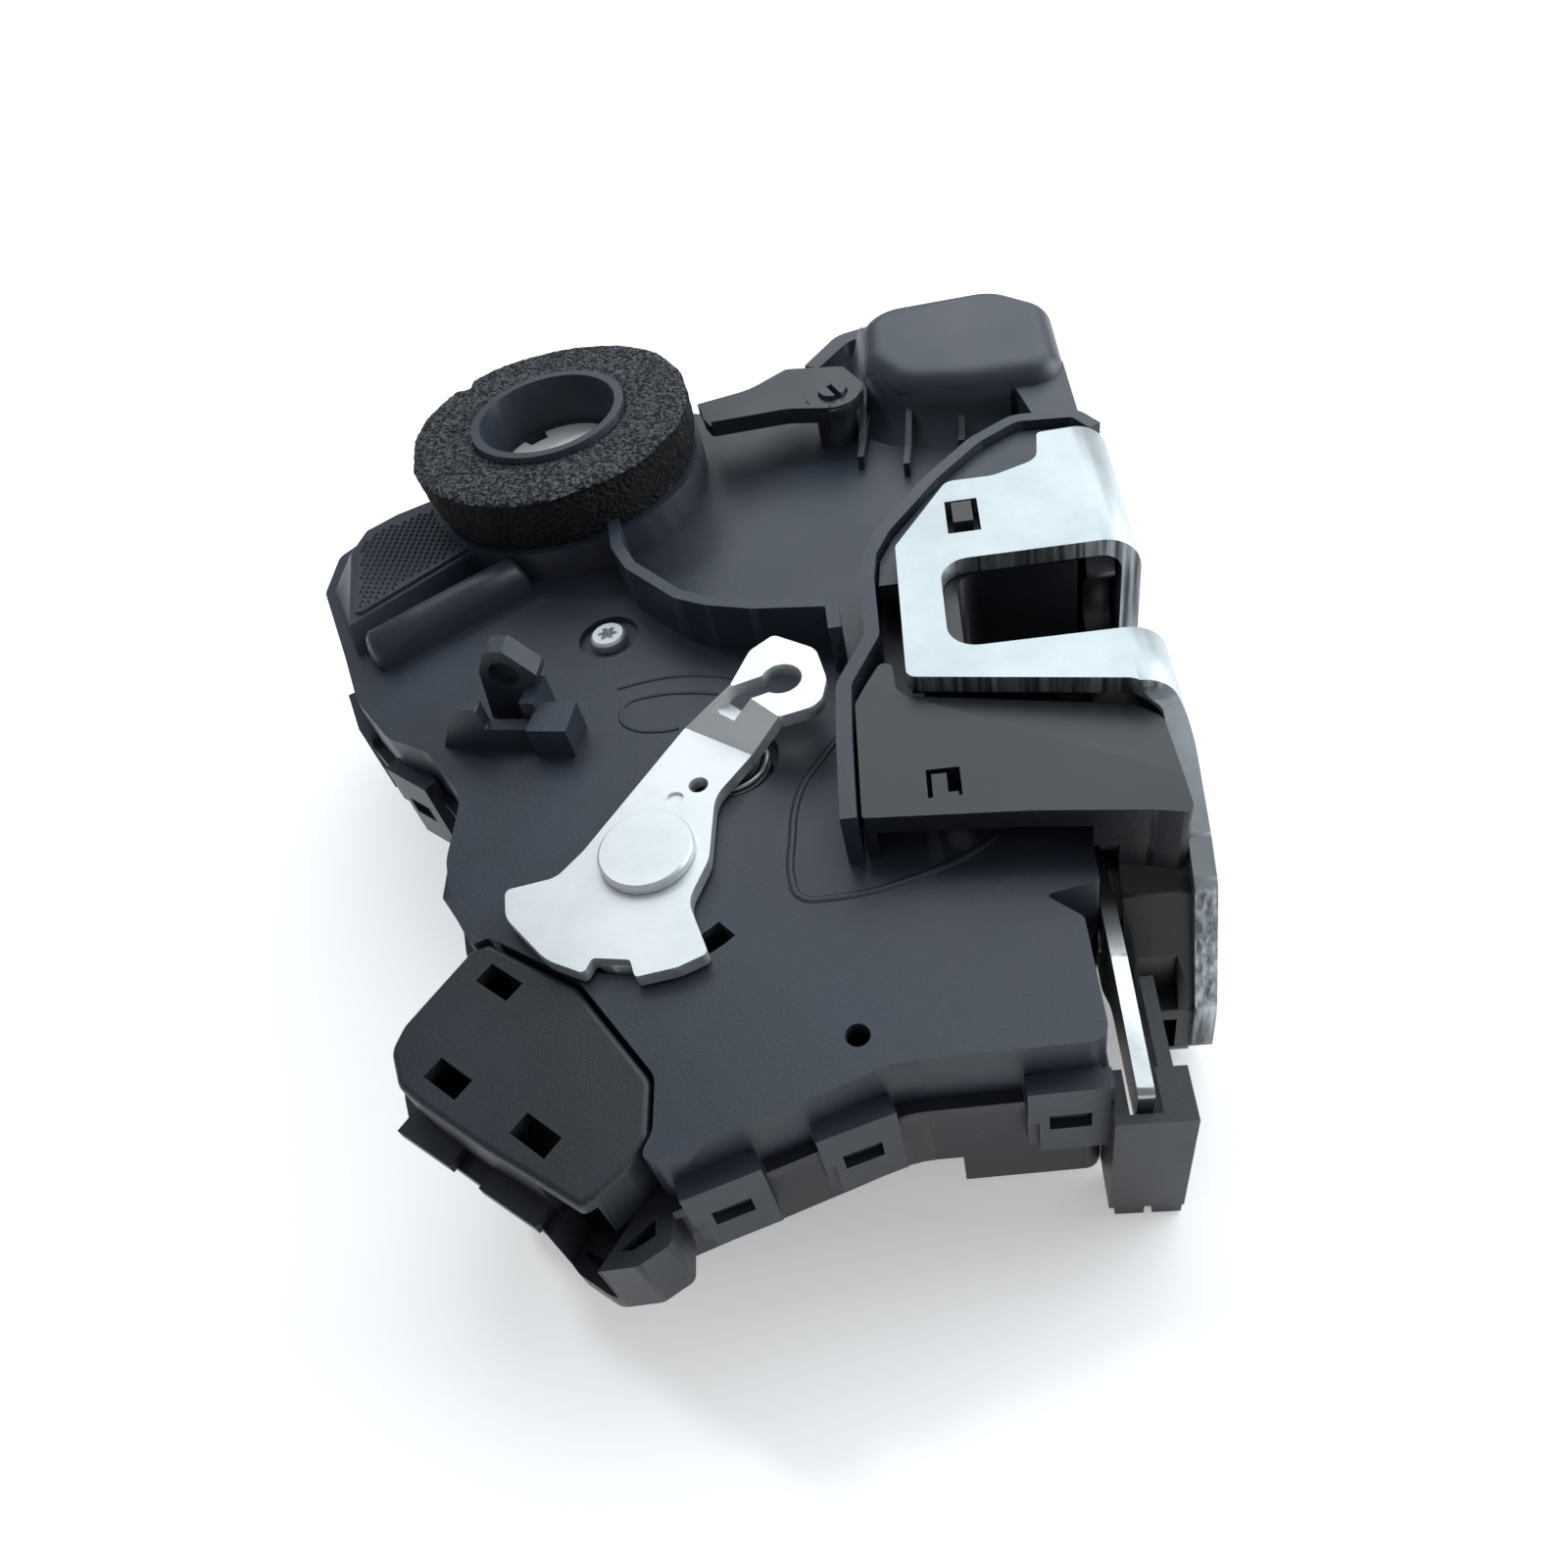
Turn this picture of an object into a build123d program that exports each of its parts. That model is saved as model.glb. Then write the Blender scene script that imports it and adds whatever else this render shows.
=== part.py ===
"""Vehicle door latch actuator, left to right 130 mm.  Millimetres, +Z out of the broad
face of the moulded housing, +X out of the steel face plate, +Y up the door.
Origin: on the outer face of the face plate, mid-way across the striker mouth, level with
the broad face."""
from math import cos, sin, radians
from build123d import *
import os

os.makedirs("parts", exist_ok=True)

# ---------------------------------------------------------------- driving sizes
face_t = 2.2            # wall thickness of the broad face
wall = 2.0              # side walls of both shells
part_z = -9.0           # parting line between the two shells
shallow_z = -25.0       # outside of the back cover floor
deep_z = -31.5          # outside of the back cover floor behind the latch
rest_z = -35.0          # lowest feet
ledge = 1.5             # how far the parting ledge stands out
ledge_t = 1.8

tube_x, tube_y = -88.1, 53.4      # key cylinder tube
tube_bore = 11.55
cam_top = 7.0            # top of the key cam inside the tube
cam_r = 10.9
cam_gap = 0.3
tube_r = 13.0
tube_top = 16.0
boss_r = 23.7
boss_top = 5.3
foam_top = 15.0
foam_r_low, foam_r_top = 22.3, 23.8

flange_top = 10.0       # steel plate: flange lies this far above the broad face
steel = 2.6
bend_r = 5.5
mouth = 8.85            # half width of the striker mouth
striker_z = -13.0       # depth of the latched striker bar
slot_x = -27.2          # how far the mouth reaches into the flange

case_x = -10.4          # back of the latch case, towards the housing
cavity_x = -8.6
claw_y, claw_z = 17.0, -18.0      # claw pivot
claw_x0, claw_x1 = -7.2, -3.4
claw_pin_r = 4.0
claw_open = 45.0        # turn from latched to open
pawl_y, pawl_z = -20.0, -8.0      # pawl pivot
pawl_pin_r = 3.0
pawl_ride = 11.0        # turn from engaged to riding clear of the claw
pin_gap = 0.3           # running clearance of a moving bore on its pin

rel_y, rel_z = -38.0, -14.0       # release lever pivot
rel_x0, rel_x1 = -12.9, -11.1

lever_x, lever_y = -66.5, -31.4   # cable lever pivot
lever_z0, lever_z1 = 0.5, 2.5
hook_z0, hook_z1 = 6.0, 8.0
rivet_r = 4.0
coil_x, coil_y = -57.4, -14.6
coil_r = 5.0
well_r = 6.6
well_depth = 2.6

eye_x, eye_y = -41.4, 59.4        # link arm pivot
arm_z0, arm_z1 = 6.0, 8.0

motor_y, motor_z = 65.0, -8.5
motor_r = 10.5
motor_x0, motor_x1 = -31.0, -6.6
lock_z0, lock_z1 = -15.5, -13.5     # lock lever
gear_module = 1.0
wheel_teeth = 28
worm_pitch_r = 3.5
worm_lead = 3.14159 * gear_module
wheel_x = -51.5
wheel_y = motor_y - worm_pitch_r - gear_module * wheel_teeth / 2
wheel_half = 2.0

screw_x, screw_y = -77.5, 13.7    # visible housing screw


# ---------------------------------------------------------------- helpers
def outline(rows):
    """Closed flat outline from (x, y, corner radius) rows."""
    points = [(row[0], row[1]) for row in rows]
    radii = [row[2] for row in rows]
    return make_face(FilletPolyline(*points, radius=radii, close=True))


def plain(points):
    """Closed flat outline with sharp corners."""
    return make_face(Polyline(*points, close=True))


def slab(face, z0, z1):
    """Stand a flat outline up between two heights."""
    return extrude(Pos(0, 0, z0) * face, amount=z1 - z0, dir=(0, 0, 1))


def side(face, x0, x1):
    """Outline drawn in (y, z), carried from x0 to x1."""
    return Pos(x0, 0, 0) * extrude(Plane.YZ * face, amount=x1 - x0)


def box(x0, x1, y0, y1, z0, z1):
    low = (Align.MIN, Align.MIN, Align.MIN)
    return Pos(x0, y0, z0) * Box(x1 - x0, y1 - y0, z1 - z0, align=low)


def post(x, y, r, z0, z1):
    """Round post along Z."""
    base = (Align.CENTER, Align.CENTER, Align.MIN)
    return Pos(x, y, z0) * Cylinder(r, z1 - z0, align=base)


def rod(y, z, r, x0, x1):
    """Round rod along X."""
    return side(Pos(y, z) * Circle(r), x0, x1)


def path_wall(points, radii, width, z0, z1):
    """Standing wall that follows a rounded path."""
    line = FilletPolyline(*points, radius=radii)
    return slab(trace(line, width), z0, z1)


def sector(cx, cy, r0, r1, a0, a1):
    """Flat ring sector between two angles."""
    outer = CenterArc((cx, cy), r1, a0, a1 - a0)
    inner = CenterArc((cx, cy), r0, a0, a1 - a0)
    return make_face([outer, inner, Line(outer @ 0, inner @ 0), Line(outer @ 1, inner @ 1)])


def placed(x, y, angle, solid):
    """Solid drawn along +X and moved to a spot on the wall, turned in plan."""
    return Pos(x, y, 0) * Rot(0, 0, angle) * solid


def save(solid, name):
    export_step(solid, "parts/" + name + ".step")


# ---------------------------------------------------------------- front housing
shell_rows = [
    (-15.3, -59.8, 2.2), (-37.5, -60.6, 14), (-45.5, -63.6, 14), (-57.5, -68.0, 10),
    (-65.2, -70.8, 1.2), (-63.4, -66.5, 3), (-63.7, -60.2, 3), (-74.1, -47.2, 3),
    (-86.4, -39.9, 0.8), (-88.6, -40.8, 0.8), (-92.4, -35.0, 4), (-94.8, -27.0, 8),
    (-95.0, -16.0, 8), (-102.0, -6.6, 7), (-109.0, -2.8, 5), (-116.2, 6.0, 8),
    (-121.0, 16.5, 8), (-129.6, 34.3, 3), (-129.8, 44.2, 3), (-122.0, 53.4, 3),
    (-113.0, 58.0, 3), (-108.5, 70.0, 8), (-98.0, 79.0, 9), (-80.0, 79.5, 12),
    (-67.0, 73.2, 8), (-52.0, 72.4, 4), (-47.0, 79.5, 7), (-41.0, 88.6, 5),
    (-31.0, 91.2, 8), (-17.0, 90.0, 8), (-6.0, 87.0, 2.5), (-3.9, 81.0, 3),
    (-1.8, 70.0, 3), (-2.4, 52.0, 3), (-2.4, 38.2, 0.5), (-13.2, 38.2, 1),
    (-13.2, -39.6, 0.4), (-19.6, -41.0, 0.3), (-15.7, -44.4, 1),
]
shell_face = outline(shell_rows)
front = slab(shell_face, part_z, 0)
front -= slab(offset(shell_face, amount=-wall), part_z - 1, -face_t)

# motor bulge, drafted, with its own hollow
bulge_rows = [
    (-36.6, 83.5, 8), (-36.6, 66.0, 7), (-31.0, 57.0, 8), (-20.0, 54.2, 8),
    (-3.4, 53.5, 6), (-3.4, 76.0, 7), (-12.0, 84.5, 9),
]
bulge_top = 10.3
bulge = slab(outline(bulge_rows), -0.5, bulge_top)
bulge = fillet(bulge.edges().group_by(Axis.Z)[-1], 4.0)
front += bulge
front += slab(plain([(-12.4, 57), (-9.6, 43.2), (-3.2, 43.2), (-3.4, 60)]), -0.5, 7.4)
front -= slab(offset(outline(bulge_rows), amount=-2.0), -face_t - 0.5, bulge_top - 1.8)
front -= rod(motor_y, motor_z, motor_r + 0.25, motor_x0 - 0.4, motor_x1 + 0.4)

# tube and gasket boss
front += post(tube_x, tube_y, boss_r, -face_t, boss_top)
front -= post(tube_x, tube_y, boss_r - wall, -face_t - 1, boss_top - wall)
front += post(tube_x, tube_y, tube_r, -4.0, tube_top)
front -= post(tube_x, tube_y, tube_bore, cam_top + 0.4, tube_top + 1)
front -= post(tube_x, tube_y, cam_r + cam_gap, -6.0, cam_top + 1)

# raised corner and its grip pad
corner_low = Polyline((-128.4, 33.8, -0.5), (-128.8, 43.6, -0.5), (-121.6, 52.2, -0.5),
                      (-108.0, 58.4, -0.5), (-99.0, 36.0, -0.5), (-118.8, 16.2, -0.5),
                      close=True)
corner_top = Polyline((-123.8, 38.0, 4.6), (-122.6, 44.0, 4.6), (-118.0, 47.6, 4.6),
                      (-107.6, 52.6, 4.6), (-100.6, 34.4, 4.6), (-118.8, 18.6, 4.6),
                      close=True)
front += loft([make_face(corner_low), make_face(corner_top)], ruled=True)
pad_rows = [(-122.6, 38.4, 1), (-120.6, 43.4, 1), (-107.4, 49.6, 1), (-101.8, 34.6, 0.6),
            (-118.2, 20.4, 1)]
front += slab(outline(pad_rows), 4.5, 5.1)

# rounded ridge below the grip pad
ridge_plane = Plane(origin=(-112.6, 13.2, 0), x_dir=(-sin(radians(35)), cos(radians(35)), 0),
                    z_dir=(cos(radians(35)), sin(radians(35)), 0))
ridge_rows = [(0.0, -0.5, 0.2), (0.6, 4.9, 1.8), (3.4, 5.2, 1.4), (8.6, 0.9, 0.4),
              (8.6, -0.5, 0.2)]
front += extrude(ridge_plane * outline(ridge_rows), amount=24.0)

# walls standing on the broad face
front += path_wall([(-77.6, 37.0), (-75.3, 25.4), (-72.6, 20.0), (-64.6, 11.6), (-60.0, 9.2),
                    (-53.4, 7.2), (-42.4, 5.6), (-42.0, 0.2)],
                   [4, 4, 6, 3, 8, 1.2], 1.8, -0.6, 8.0)
collar_points = [(-1.6, 38.6), (-4.0, 42.6), (-13.2, 43.7), (-19.8, 39.2), (-27.0, 31.0),
                 (-34.6, 19.8), (-36.8, 14.6), (-37.3, 9.2), (-37.0, -2.6), (-41.0, -11.4),
                 (-41.1, -20.6), (-40.9, -33.8)]
front += path_wall(collar_points, [2, 4, 8, 12, 4, 4, 6, 3, 4, 8], 2.0, -0.7, 8.4)

# gussets between the bulge and the collar
for x0, y0, x1, y1 in [(-35.6, 66.0, -37.8, 48.4), (-29.2, 57.4, -30.4, 44.6),
                       (-20.6, 55.4, -21.2, 49.0)]:
    front += slab(
        trace(Line((x0, y0), (x1, y1)), 1.0), -0.5, 2.4)

# raised rim round the top corner
rim_outer = [(-46.2, 78.8), (-40.2, 87.4), (-31.0, 90.0), (-24.0, 89.6)]
front += path_wall(rim_outer, [6, 5], 4.0, -0.5, 3.0) & slab(shell_face, -1, 4)

# stud that carries the link arm
front += post(eye_x, eye_y, 3.4, -0.5, arm_z0 - 0.1)
front += post(eye_x, eye_y, 2.2, 0, arm_z1 + 1.0)
front -= placed(eye_x, eye_y, 25, box(-0.5, 0.5, -3, 3, arm_z1 - 1.0, arm_z1 + 2))

# cable clip tower
clip_plate = outline([(-8.6, -0.5, 0.3), (-5.2, 6.0, 0.5), (-3.4, 7.4, 0.4), (-0.6, 7.4, 0.4),
                      (-0.6, 3.6, 0.3), (7.0, 3.6, 0.3), (7.0, -0.5, 0.3)])
clip_post = outline([(-3.0, -0.5, 0.5), (-1.6, 9.0, 2), (0.4, 12.6, 1.2), (3.2, 12.6, 0.8),
                     (7.0, 8.0, 0.8), (4.4, 3.4, 1), (4.6, -0.5, 0.3)])
tower = extrude(Plane.XZ * clip_plate, amount=2.0)
tower += Pos(0, 7.4, 0) * extrude(Plane.XZ * clip_post, amount=3.4)
tower += box(6.6, 12.4, -3.6, 2.0, -0.5, 5.0)
tower += box(4.6, 6.8, 0.5, 6.0, -0.5, 6.2)
tower -= Pos(2.0, 3.6, 8.4) * Rot(90, 0, 0) * Cylinder(2.2, 4)
front += placed(-91.0, -5.2, -9, tower)

# recess and boss of the visible screw, arc slot of the cable lever, spring post
front -= post(screw_x, screw_y, 4.65, -1.0, 1)
front += post(screw_x, screw_y, 5.4, -12.0, -1.0) - post(screw_x, screw_y, 4.65, -1.2, 0)
front -= post(screw_x, screw_y, 1.6, -13, 0)
foam_room = post(tube_x, tube_y, boss_r + 0.5, boss_top, 9)
front -= foam_room - post(tube_x, tube_y, tube_r, 0, 10)
front += post(lever_x, lever_y, 7.2, -0.5, lever_z0 - 0.1)
front -= post(lever_x, lever_y, rivet_r + 0.02, -6, 3)
front -= slab(sector(lever_x, lever_y, 12.8, 15.8, -118, -46), -4, 1)
front += post(coil_x, coil_y, well_r + 1.6, -well_depth - 1.6, -0.5)
front -= post(coil_x, coil_y, well_r, -well_depth, 1)
front += post(coil_x, coil_y, coil_r - 1.0, -well_depth - 0.5, -0.5)
front -= post(-41.5, -57.1, 1.4, -4, 1)

# window for the striker trough and the claw case
front -= box(-31.0, -13.0, -13.6, 14.6, -3, 0.5)
front -= box(-15.4, -12.0, -13.6, 14.6, -10, 0.5)

# outline of the back cover, which the snap tabs must clear
tray_rows = [
    (-15.3, -59.8, 2.2), (-37.5, -60.6, 14), (-45.5, -63.6, 14), (-57.5, -68.0, 10),
    (-66.0, -71.2, 3), (-70.2, -75.0, 2), (-82.5, -67.6, 6), (-90.8, -62.0, 3),
    (-94.4, -59.2, 3), (-96.4, -54.5, 3), (-95.6, -51.0, 3), (-89.6, -41.4, 4),
    (-92.4, -35.0, 4), (-94.8, -27.0, 8), (-95.0, -16.0, 8), (-102.0, -6.6, 7),
    (-109.0, -2.8, 5), (-116.2, 6.0, 8), (-121.0, 16.5, 8), (-129.6, 34.3, 3),
    (-129.8, 44.2, 3), (-122.0, 53.4, 3), (-113.0, 58.0, 3), (-108.5, 70.0, 8),
    (-98.0, 79.0, 9), (-80.0, 79.5, 12), (-67.0, 73.2, 8), (-52.0, 72.4, 4),
    (-47.0, 79.5, 7), (-41.0, 88.6, 5), (-31.0, 91.2, 8), (-17.0, 90.0, 8),
    (-6.0, 87.0, 2.5), (-3.9, 81.0, 3), (-1.8, 70.0, 3), (-2.4, 52.0, 3),
    (-2.4, 38.2, 0.5), (-13.2, 38.2, 1), (-13.2, -39.6, 0.4), (-15.7, -44.4, 1),
]
tray_face = outline(tray_rows)


def snap_clip(x, y, angle):
    """Snap tab of the front housing, drawn with its outside towards -Y."""
    tab = box(-4.6, 4.6, -2.6, -0.2, -19.5, -5.6)
    tab += box(-3.6, 3.6, -0.4, 0.6, part_z + 0.1, -5.6)
    tab -= box(-2.3, 2.3, -4, 0, -14.2, -11.0)
    tab -= box(-5, -3.4, -4, -1.6, -20, -12.5)
    return placed(x, y, angle, tab)


clip_spots = [(-58.0, -68.0, 19), (-43.4, -62.5, 18), (-19.8, -59.9, 2),
              (-94.9, -24.0, -86), (-106.5, -3.9, -36), (-118.2, 11.2, -64)]
for spot in clip_spots:
    front += snap_clip(*spot) - slab(tray_face, -40, part_z)
front = front.solids().sort_by(SortBy.VOLUME)[-1]
save(front, "front_housing")


# ---------------------------------------------------------------- back cover
tray_hollow = offset(tray_face, amount=-wall)
deep_x = -32.0
back = slab(tray_face, shallow_z, part_z)
back += slab(tray_face, deep_z, shallow_z + 1) & box(deep_x, 0, -100, 100, -40, 0)
rim_ring = slab(offset(tray_face, amount=ledge), part_z - ledge_t, part_z)
back += rim_ring & (box(-150, -15.0, -100, 100, -20, 0) + box(-150, 5, 46, 100, -20, 0))
back -= slab(tray_hollow, shallow_z + wall, part_z + 1)
back -= slab(tray_hollow, deep_z + wall, shallow_z + wall + 1) & box(
    deep_x + wall, 0, -100, 100, -40, 0)

# notches in the ledge where the snap tabs pass, and the teeth they catch
for spot in clip_spots:
    back -= placed(*spot, box(-4.8, 4.8, -4, -0.1, part_z - 3, part_z + 1))
    back += placed(*spot, box(-2.0, 2.0, -1.6, 0.4, -13.8, -11.4))

# window for the striker trough and the case
back -= box(-16.0, -12.0, -13.6, 14.6, -24.5, part_z + 1)

# block at the front right with the pocket for the release lever end, and its side plate
block_rows = [(-14.7, -58.8, 0.5), (-14.7, -64.6, 1), (-13.2, -65.2, 0.5), (-6.8, -65.0, 1),
              (-6.8, -58.6, 0.5)]
back += slab(outline(block_rows), deep_z, part_z)
back -= box(-13.8, -10.3, -64.0, -58.0, -22.0, part_z + 1)
back += box(-9.9, -8.3, -58.9, -47.2, -30.0, part_z)
back -= box(-10.6, -7.8, -53.5, -49.5, -24.0, -15.0)
back += box(-14.7, -6.8, -59.9, -57.0, deep_z, -23.0)
for x0 in (-14.6, -10.2):
    back += box(x0, x0 + 3.4, -64.4, -59.0, rest_z, deep_z)
back += box(-22.0, -10.0, 80.0, 86.0, rest_z, deep_z)

# rounded gutter below the cable exit
gutter_rows = [(-63.2, -70.4, 0.6), (-62.9, -75.0, 1.2), (-66.4, -77.2, 2), (-71.2, -77.6, 2.5),
               (-75.6, -74.8, 3), (-78.2, -71.8, 1), (-74.0, -70.0, 1)]
gutter = slab(outline(gutter_rows), -20.3, part_z)
gutter -= slab(offset(outline(gutter_rows), amount=-1.8), -18.5, part_z + 1)
gutter -= slab(tray_face, -30, 0)
back += gutter
back -= slab(plain([(-66.2, -70), (-71.0, -78), (-76.8, -74.2), (-72, -66)]), -17.0, part_z + 1)

# motor cradle, gear posts and screw bosses on the floor
for x0 in (-30.0, -11.5):
    floor = (shallow_z if x0 < deep_x else deep_z) + 1
    back += box(x0, x0 + 1.8, motor_y - 10.5, motor_y + 10.5, floor, motor_z - 6)
back -= rod(motor_y, motor_z, motor_r + 0.05, motor_x0 - 1, motor_x1 + 1)
back += post(wheel_x, wheel_y, 4.0, shallow_z + 1, motor_z - wheel_half - 2.1)
back -= post(wheel_x, wheel_y, 2.02, shallow_z + 3, 0)
lock_x, lock_y = wheel_x - 27.0, wheel_y
back += post(lock_x, lock_y, 3.6, shallow_z + 1, lock_z0 - 0.1)
back -= post(lock_x, lock_y, 1.52, shallow_z + 3, 0)
back += post(tube_x, tube_y, 6.0, shallow_z + 1, -7.2)
back -= post(tube_x, tube_y, 3.3, -20.0, 0)
back += post(screw_x, screw_y, 4.6, shallow_z + 1, -12.0)
back -= post(screw_x, screw_y, 1.3, -20.0, 0)

# connector shroud on the back
plug_x0, plug_x1, plug_y0, plug_y1 = -122.0, -92.0, 30.0, 46.0
back += box(plug_x0, plug_x1, plug_y0, plug_y1, rest_z, shallow_z + 1)
back -= box(plug_x0 + 1.8, plug_x1 - 1.8, plug_y0 + 1.8, plug_y1 - 1.8, rest_z - 1,
            shallow_z)
back += box(plug_x0 + 12, plug_x0 + 18, plug_y0 - 2.0, plug_y0 + 0.5, -33.0, shallow_z + 1)
pin_rows = [(col, row) for row in (0, 1) for col in range(6)]
for col, row in pin_rows:
    back -= box(plug_x0 + 4.6 + 4 * col, plug_x0 + 5.4 + 4 * col,
                plug_y0 + 5.6 + 4 * row, plug_y0 + 6.4 + 4 * row, -30, 0)
back = back.solids().sort_by(SortBy.VOLUME)[-1]
save(back, "back_cover")

# ---------------------------------------------------------------- connector terminals
pins = []
for col, row in pin_rows:
    px = plug_x0 + 4.6 + 4 * col
    py = plug_y0 + 5.6 + 4 * row
    pins.append(box(px, px + 0.8, py, py + 0.8, -32.0, -20.0))
save(Compound(pins), "connector_terminals")

# ---------------------------------------------------------------- cable cover
cover_rows = [
    (-88.6, -41.4, 1.2), (-86.4, -40.6, 1), (-74.4, -47.8, 3), (-64.2, -60.4, 3),
    (-63.9, -67.0, 2), (-66.0, -70.4, 1), (-68.8, -73.2, 1), (-70.4, -74.2, 1),
    (-82.3, -67.0, 4), (-90.4, -61.6, 3), (-93.8, -59.0, 3), (-95.8, -54.4, 3),
    (-95.0, -51.2, 3),
]
lid_face = outline(cover_rows)
lid = slab(lid_face, part_z + 0.02, -0.1)
lid = fillet(lid.edges().group_by(Axis.Z)[-1], 0.8)
lid -= slab(offset(lid_face, amount=-1.8), part_z - 1, -2.2)
for hx, hy in [(-84.0, -46.4), (-87.8, -58.6), (-76.3, -66.1)]:
    lid -= placed(hx, hy, -36, box(-2.7, 2.7, -1.4, 1.4, -5, 2))
for tx, ty in [(-91.6, -61.4), (-80.2, -68.9)]:
    lid += placed(tx, ty, -33, box(-4.4, 4.4, -2.2, 2.2, part_z + 0.02, -7.4))
lid -= slab(plain([(-66.6, -69.6), (-70.6, -75.6), (-76.6, -71.8), (-72, -66)]), -10, -2.2)
lid -= slab(shell_face, -12, 1)
lid = lid.solids().sort_by(SortBy.VOLUME)[-1]
save(lid, "cable_cover")

# ---------------------------------------------------------------- foam gasket
foam_face = make_face(Polyline((tube_r + 0.05, boss_top), (foam_r_low, boss_top),
                               (foam_r_low + 0.5, boss_top + 3), (foam_r_top, foam_top),
                               (tube_r + 0.05, foam_top), close=True))
foam = Pos(tube_x, tube_y, 0) * revolve(Plane.XZ * foam_face, axis=Axis.Z)
save(foam, "foam_gasket")

# ---------------------------------------------------------------- key cam
cam = post(0, 0, cam_r, -6.5, cam_top)
cam -= post(0, 0, cam_r - 2.2, -7.0, cam_top - 2.4)
cam += post(0, 0, 4.6, -6.5, cam_top - 1.0)
cam += post(0, 0, 3.0, -18.0, -6.0)
cam -= box(-6.4, 6.4, -1.3, 1.3, cam_top - 5.0, cam_top + 1)
cam -= slab(sector(0, 0, 8.6, cam_r + 1, 96, 118), cam_top - 1.2, cam_top + 1)
cam -= slab(sector(0, 0, 8.6, cam_r + 1, 30, 44), cam_top - 0.8, cam_top + 1)
cam = Pos(tube_x, tube_y, 0) * Rot(0, 0, 20) * cam
save(cam, "key_cam")

# ---------------------------------------------------------------- link arm
arm_rows = [
    (-66.0, 62.6, 1), (-56.0, 65.0, 10), (-49.6, 70.0, 1.5), (-39.6, 68.0, 2),
    (-35.8, 60.6, 4.5), (-39.4, 53.6, 4.5), (-49.0, 55.6, 6), (-62.2, 55.0, 0.8),
]
arm = slab(outline(arm_rows), arm_z0, arm_z1)
arm += path_wall([(-62.0, 55.6), (-49.0, 56.2), (-42.0, 54.6)], [6], 1.2, arm_z0, arm_z1 + 0.8)
arm += post(eye_x, eye_y, 4.6, arm_z0, arm_z1 + 0.3)
arm -= post(eye_x, eye_y, 2.2 + pin_gap, 0, 12)
arm -= post(tube_x, tube_y, boss_r + 1.2, 0, 12)
arm = arm.solids().sort_by(SortBy.VOLUME)[-1]
save(arm, "link_arm")

# ---------------------------------------------------------------- cable lever
plate_rows = [
    (-84.4, -34.8, 0.8), (-83.6, -39.0, 4), (-77.5, -45.6, 8), (-72.6, -47.9, 0.6),
    (-71.8, -45.9, 0.6), (-67.2, -46.6, 0.6), (-66.4, -49.0, 0.6), (-61.6, -48.2, 4),
    (-58.0, -46.6, 0.8), (-60.9, -39.0, 4), (-58.7, -33.0, 6), (-58.5, -23.0, 6),
    (-53.9, -16.5, 0.3), (-63.3, -10.1, 0.3), (-75.0, -29.8, 6), (-78.0, -33.6, 3),
]
zinc = slab(outline(plate_rows), lever_z0, lever_z1)


def upright(a, b, z0, z1):
    """Flat section standing on the line a-b."""
    return make_face(Polyline((a[0], a[1], z0), (b[0], b[1], z0), (b[0], b[1], z1),
                              (a[0], a[1], z1), close=True))


fold_a, fold_b = (-63.3, -10.1), (-53.9, -16.5)
rise_a, rise_b = (-56.0, -8.6), (-49.4, -15.6)
zinc += loft([upright(fold_a, fold_b, lever_z0, lever_z1),
              upright(rise_a, rise_b, hook_z0, hook_z1)], ruled=True)
hook_rows = [
    (-56.0, -8.6, 0.4), (-53.6, -2.4, 2), (-50.4, 0.2, 1), (-44.6, -3.6, 3),
    (-43.2, -9.6, 4), (-44.0, -14.2, 3), (-49.4, -15.6, 0.8),
]
zinc += slab(outline(hook_rows), hook_z0, hook_z1)
zinc -= post(-49.2, -8.6, 2.75, 4, 10)
zinc -= placed(-49.2, -8.6, 198, box(0, 9, -1.7, 1.7, 5.2, 10))
zinc -= post(-60.8, -20.7, 1.3, 0, 4)
zinc -= post(-63.8, -22.7, 1.2, lever_z1 - 0.4, 4)
zinc += slab(sector(lever_x, lever_y, 13.2, 15.2, -109, -93), -3.6, lever_z0 + 0.5)
zinc -= post(lever_x, lever_y, rivet_r + pin_gap, -1, 4)
zinc = zinc.solids().sort_by(SortBy.VOLUME)[-1]
save(zinc, "cable_lever")

rivet = post(lever_x, lever_y, rivet_r, -5.0, lever_z1 + 0.2)
head = post(lever_x, lever_y, 6.1, lever_z1 + 0.1, lever_z1 + 1.5)
rivet += chamfer(head.edges().group_by(Axis.Z)[-1], 0.3)
rivet += post(lever_x, lever_y, 5.6, -4.0, -face_t - 0.02)
save(rivet, "lever_rivet")

coil = Helix(pitch=1.0, height=2.0, radius=coil_r)
coil_plane = Plane(origin=coil @ 0, z_dir=coil % 0)
spring = sweep(coil_plane * Circle(0.4), path=coil, is_frenet=True)
save(Pos(coil_x, coil_y, 0.45 - well_depth) * spring, "lever_spring")

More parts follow.
